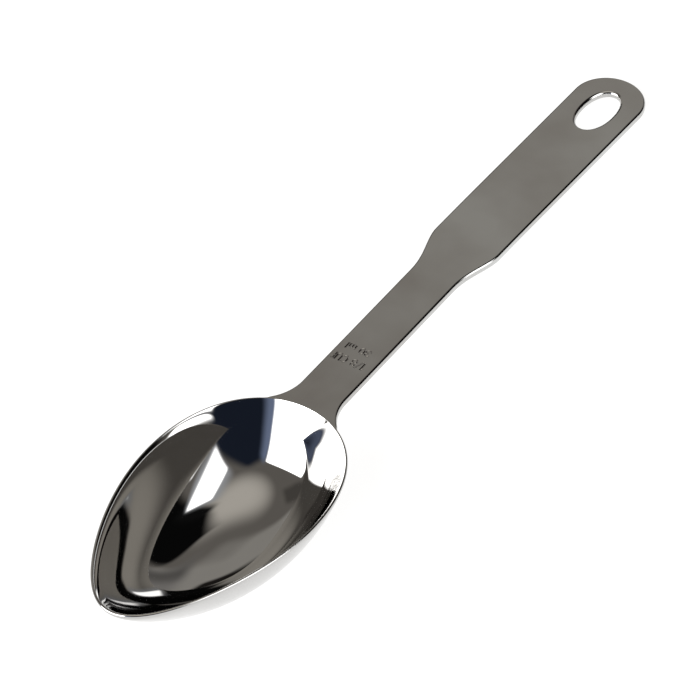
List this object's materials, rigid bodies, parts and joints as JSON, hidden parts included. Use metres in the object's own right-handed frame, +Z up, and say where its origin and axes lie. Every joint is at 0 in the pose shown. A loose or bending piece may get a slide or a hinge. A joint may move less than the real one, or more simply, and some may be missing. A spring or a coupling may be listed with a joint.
{
  "type": "measuring scoop",
  "caption": "Polished steel measuring scoop: an egg-shaped bowl that holds a set volume to its rim, and a flat waisted bar handle with a rounded end and an oval hang hole.",
  "frame": {"origin": "on the table, under the middle of the scoop's box, with the scoop standing on the underside of its bowl and the end of its handle", "axes": "+X from the tip of the bowl to the end of the handle, +Z up from the table, Y = 0 is the plane of symmetry"},
  "size_m": [0.2168, 0.0458, 0.0248],
  "materials": {
    "bowl_steel": "mirror-polished stainless steel, faint wiping scratches",
    "weld_steel": "weld ground flush and polished with the bowl and bar",
    "handle_steel": "tumble-polished stainless steel bar, slightly softer than the bowl, edges rounded"
  },
  "bodies": {
    "root": {"bowl": "bowl_steel", "weld_seam": "weld_steel", "handle": "handle_steel"}
  },
  "joints": []
}
